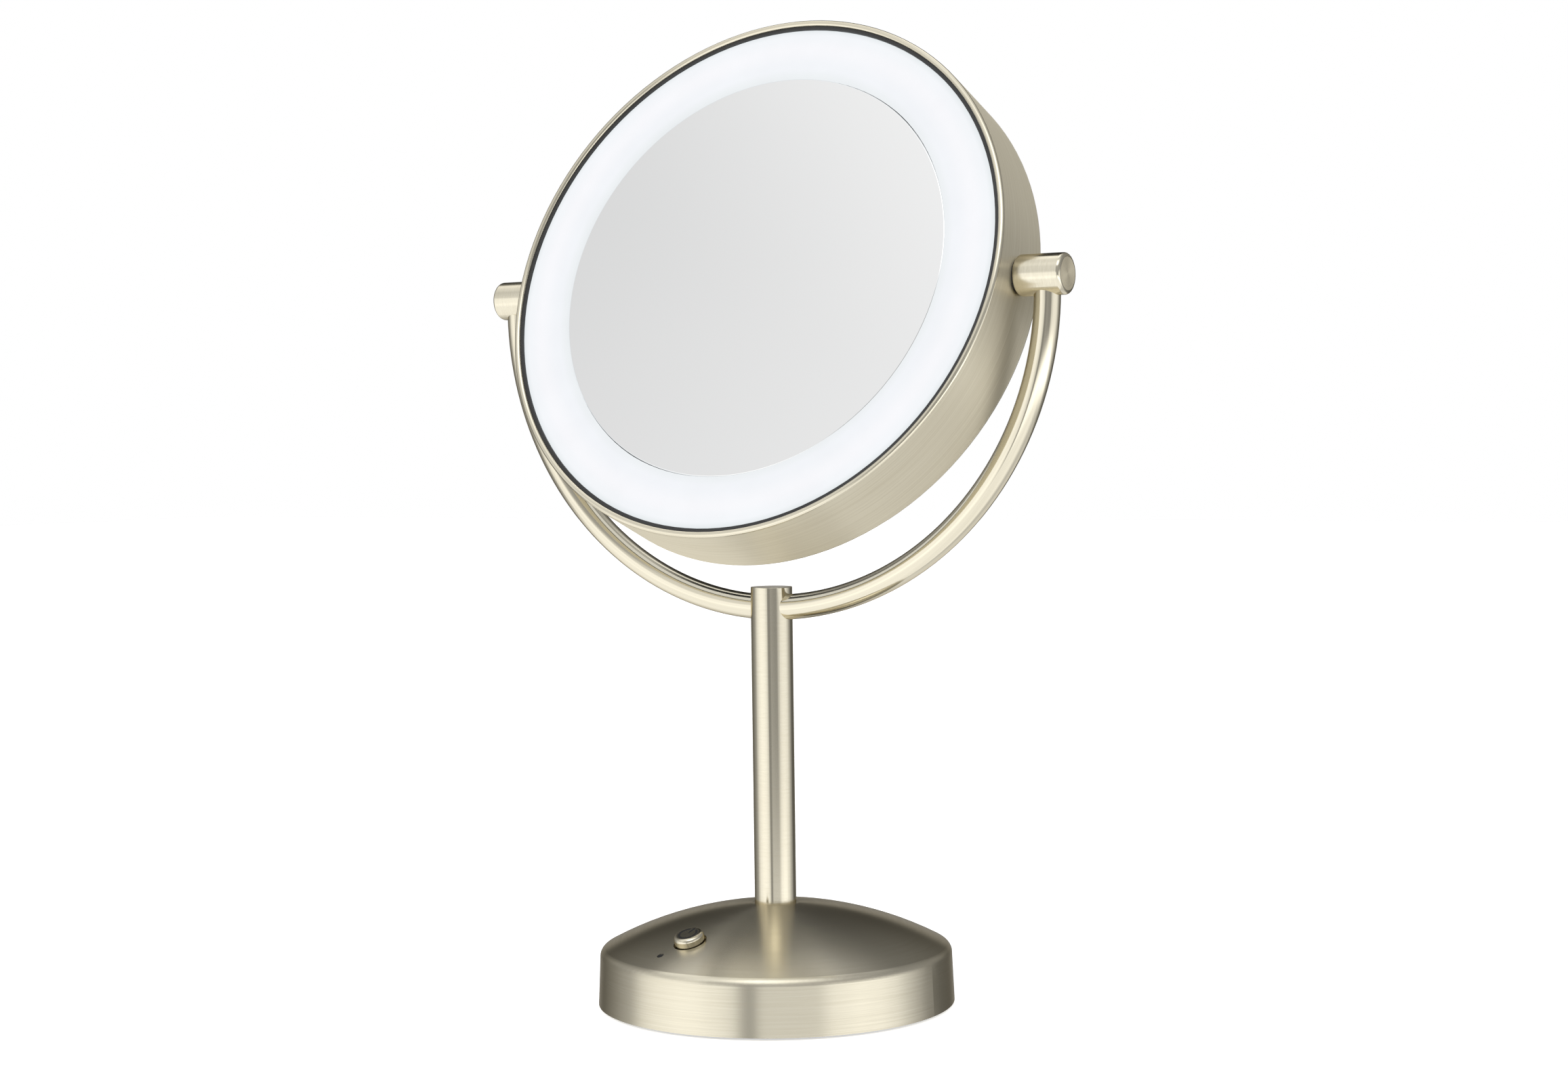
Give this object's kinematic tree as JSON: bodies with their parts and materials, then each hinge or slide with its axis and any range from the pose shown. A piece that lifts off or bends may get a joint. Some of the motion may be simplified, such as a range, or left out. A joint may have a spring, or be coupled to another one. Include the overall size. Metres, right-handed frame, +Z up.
{
  "type": "lighted vanity mirror",
  "caption": "Tabletop vanity mirror: round double-sided head with a light ring, held in a round-tube yoke on a post and a domed weighted base with a power button.",
  "frame": {"origin": "middle of the base on the surface that the mirror stands on", "axes": "+Z up along the post, +X along the pivot axis, the lit face of the head looks towards -Y"},
  "size_m": [0.2544, 0.1386, 0.3832],
  "materials": {
    "brushed_nickel": "satin brushed nickel plate, warm",
    "mirror_glass": "silvered glass",
    "light_diffuser": "opal acrylic, lit from behind by the emitters",
    "black_plastic": "fine moulded texture",
    "white_plastic": "smooth moulding",
    "foot_rubber": "matt",
    "foam_pad": "closed-cell foam",
    "zinc_steel": "bright zinc plate",
    "ballast_iron": "painted casting",
    "nylon": "black nylon",
    "circuit_board": "solder mask",
    "component_black": "moulded component bodies",
    "clear_plastic": "smoked clear acrylic",
    "cell_sleeve": "shrink-sleeved metal can",
    "contact_brass": "sprung strip",
    "wire_insulation": "silicone sleeve",
    "icon_ink": "filled engraving",
    "led_lens": "phosphor-filled lens"
  },
  "bodies": {
    "stand": {"base_shell": "brushed_nickel", "stem_tube": "brushed_nickel", "stem_cap": "brushed_nickel", "yoke_arm_left": "brushed_nickel", "yoke_arm_right": "brushed_nickel", "pivot_barrel_left": "brushed_nickel", "pivot_barrel_right": "brushed_nickel", "pivot_caps": "brushed_nickel", "base_bottom_plate": "black_plastic", "button_guide": "black_plastic", "board_bracket": "black_plastic", "battery_cradle": "black_plastic", "foot_ring": "foot_rubber", "bottom_screws": "zinc_steel", "stem_stud": "zinc_steel", "stem_washer": "zinc_steel", "stem_nut": "zinc_steel", "stem_plug": "zinc_steel", "spacer_sleeve": "zinc_steel", "stop_pin": "zinc_steel", "board_screws": "zinc_steel", "charge_socket": "zinc_steel", "ballast_weight": "ballast_iron", "friction_washers": "nylon", "thrust_washers": "nylon", "control_board": "circuit_board", "socket_board": "circuit_board", "board_parts": "component_black", "tact_switch": "component_black", "light_pipe": "clear_plastic", "battery_cell": "cell_sleeve", "battery_contacts": "contact_brass", "battery_leads": "wire_insulation", "socket_lead": "wire_insulation", "yoke_leads": "wire_insulation"},
    "power_button": {"power_button": "brushed_nickel", "power_icon": "icon_ink", "switch_plunger": "component_black"},
    "head": {"head_shell": "brushed_nickel", "front_bezel": "black_plastic", "rear_bezel": "black_plastic", "front_diffuser": "light_diffuser", "rear_diffuser": "light_diffuser", "front_mirror": "mirror_glass", "rear_mirror": "mirror_glass", "front_mirror_pad": "foam_pad", "rear_mirror_pad": "foam_pad", "head_chassis": "white_plastic", "front_reflector": "white_plastic", "rear_reflector": "white_plastic", "led_strips": "circuit_board", "front_leds": "led_lens", "rear_leds": "led_lens", "pivot_shafts": "zinc_steel", "pivot_brackets": "zinc_steel", "shaft_nuts": "zinc_steel", "shaft_washers": "zinc_steel", "bracket_screws": "zinc_steel", "head_leads": "wire_insulation"}
  },
  "joints": [
    {"name": "head_tilt", "type": "hinge", "parent": "stand", "child": "head", "pos_m": [0, 0, 0.2775], "axis": [-1, 0, 0], "range_deg": [-95.9, 234.1]},
    {"name": "button_press", "type": "slide", "parent": "stand", "child": "power_button", "axis": [0.0637, 0.3338, -0.9405], "range_m": [0, 0.001], "stiffness_N_per_m": 1500, "springref_m": -0.0003}
  ]
}
